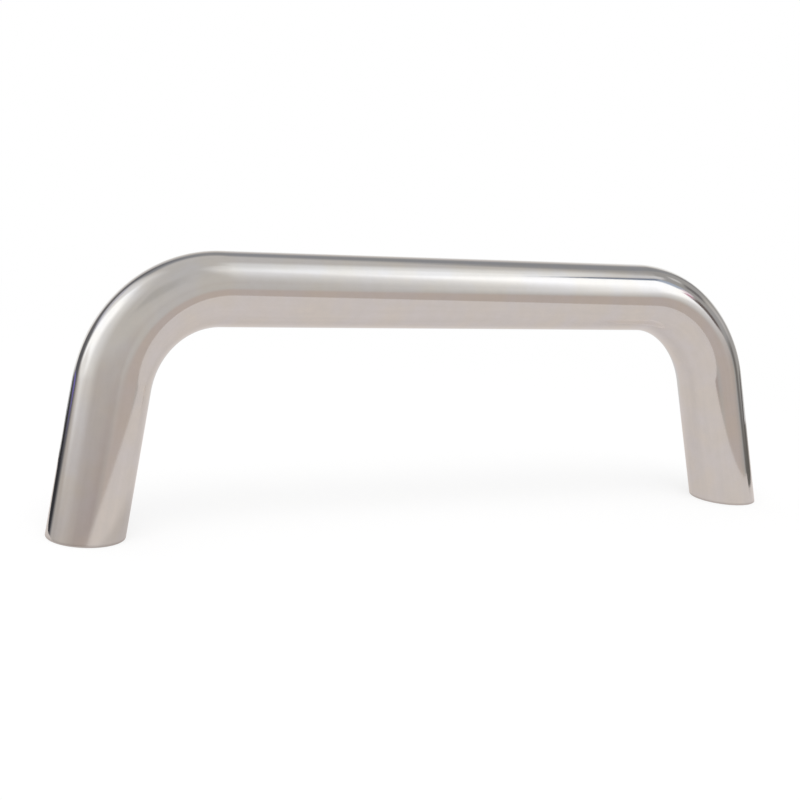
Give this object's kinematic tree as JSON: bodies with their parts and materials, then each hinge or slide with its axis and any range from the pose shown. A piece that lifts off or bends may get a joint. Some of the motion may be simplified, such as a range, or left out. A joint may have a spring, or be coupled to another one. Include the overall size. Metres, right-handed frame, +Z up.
{
  "type": "boat grab rail",
  "caption": "Bent round-tube grab rail with two splayed legs and closed, flush feet tapped for deck bolts.",
  "frame": {"origin": "middle of the underside of the rail's box; the middles of both feet are on the deck plane, 6.18 mm in front of it", "axes": "+X along the rail from the left foot to the right foot, +Y the way the rail leans back, +Z up from the deck"},
  "size_m": [0.2924, 0.038, 0.0917],
  "materials": {
    "polished_stainless": "mirror-polished stainless steel, not plated",
    "ground_stainless": "machined and ground stainless steel",
    "weld_bead": "stainless weld metal, ground flush on the underside of the foot"
  },
  "bodies": {
    "root": {"rail_tube": "polished_stainless", "left_foot_plate": "ground_stainless", "right_foot_plate": "ground_stainless", "left_threaded_boss": "ground_stainless", "right_threaded_boss": "ground_stainless", "left_foot_weld": "weld_bead", "right_foot_weld": "weld_bead", "left_boss_weld": "weld_bead", "right_boss_weld": "weld_bead"}
  },
  "joints": []
}
